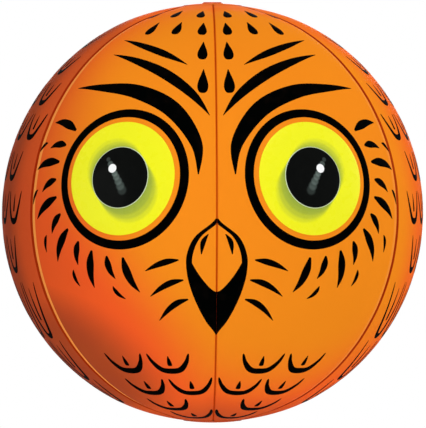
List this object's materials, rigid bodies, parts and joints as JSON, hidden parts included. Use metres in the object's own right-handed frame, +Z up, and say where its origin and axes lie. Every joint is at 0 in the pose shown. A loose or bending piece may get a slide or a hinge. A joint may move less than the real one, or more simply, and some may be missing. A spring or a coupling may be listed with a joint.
{
  "type": "inflatable owl decoy",
  "caption": "Hanging inflatable ball of welded vinyl gores with stuck-on lens eyes, a folding hang tab with an eyelet, and a sinking push-in air valve with a captive plug.",
  "frame": {"origin": "centre of the inflated ball", "axes": "+Z up through the hang tab's pole, along the pull of the cord the ball hangs from; the face looks along -Y; +X is the right-hand side seen from in front"},
  "size_m": [0.6098, 0.6046, 0.6096],
  "materials": {
    "orange_vinyl": "printed glossy vinyl sheet",
    "yellow_lens_film": "fine ribbed lens film",
    "black_gloss": "high gloss",
    "milky_pvc": "soft milky vinyl",
    "nickel": "nickel plated"
  },
  "bodies": {
    "ball": {"gore_right": "orange_vinyl", "gore_back_right": "orange_vinyl", "gore_back_left": "orange_vinyl", "gore_left": "orange_vinyl", "gore_front_left": "orange_vinyl", "gore_front_right": "orange_vinyl", "top_patch": "orange_vinyl", "bottom_patch": "orange_vinyl", "hang_tab_foot": "orange_vinyl", "eye_film_left": "yellow_lens_film", "eye_film_right": "yellow_lens_film", "pupil_lens_left": "black_gloss", "pupil_lens_right": "black_gloss", "valve_flange": "milky_pvc", "valve_boot": "milky_pvc"},
    "tab": {"hang_tab": "orange_vinyl", "tab_eyelet": "nickel"},
    "stem": {"valve_stem": "milky_pvc"},
    "plug": {"valve_plug": "milky_pvc"},
    "flap": {"check_flap": "milky_pvc"}
  },
  "joints": [
    {"name": "tab_fold", "type": "hinge", "parent": "ball", "child": "tab", "pos_m": [0, 0, 0.3052], "axis": [1, 0, 0], "range_deg": [0, 180]},
    {"name": "valve_pull", "type": "slide", "parent": "ball", "child": "stem", "axis": [0, 0, -1], "range_m": [0, 0.014], "deforming": ["valve_boot"]},
    {"name": "plug_swing", "type": "hinge", "parent": "stem", "child": "plug", "pos_m": [0, 0.009, -0.30123], "axis": [1, 0, 0], "range_deg": [0, 120]},
    {"name": "flap_swing", "type": "hinge", "parent": "stem", "child": "flap", "pos_m": [0, 0.004, -0.28493], "axis": [-1, 0, 0], "range_deg": [0, 65]}
  ]
}
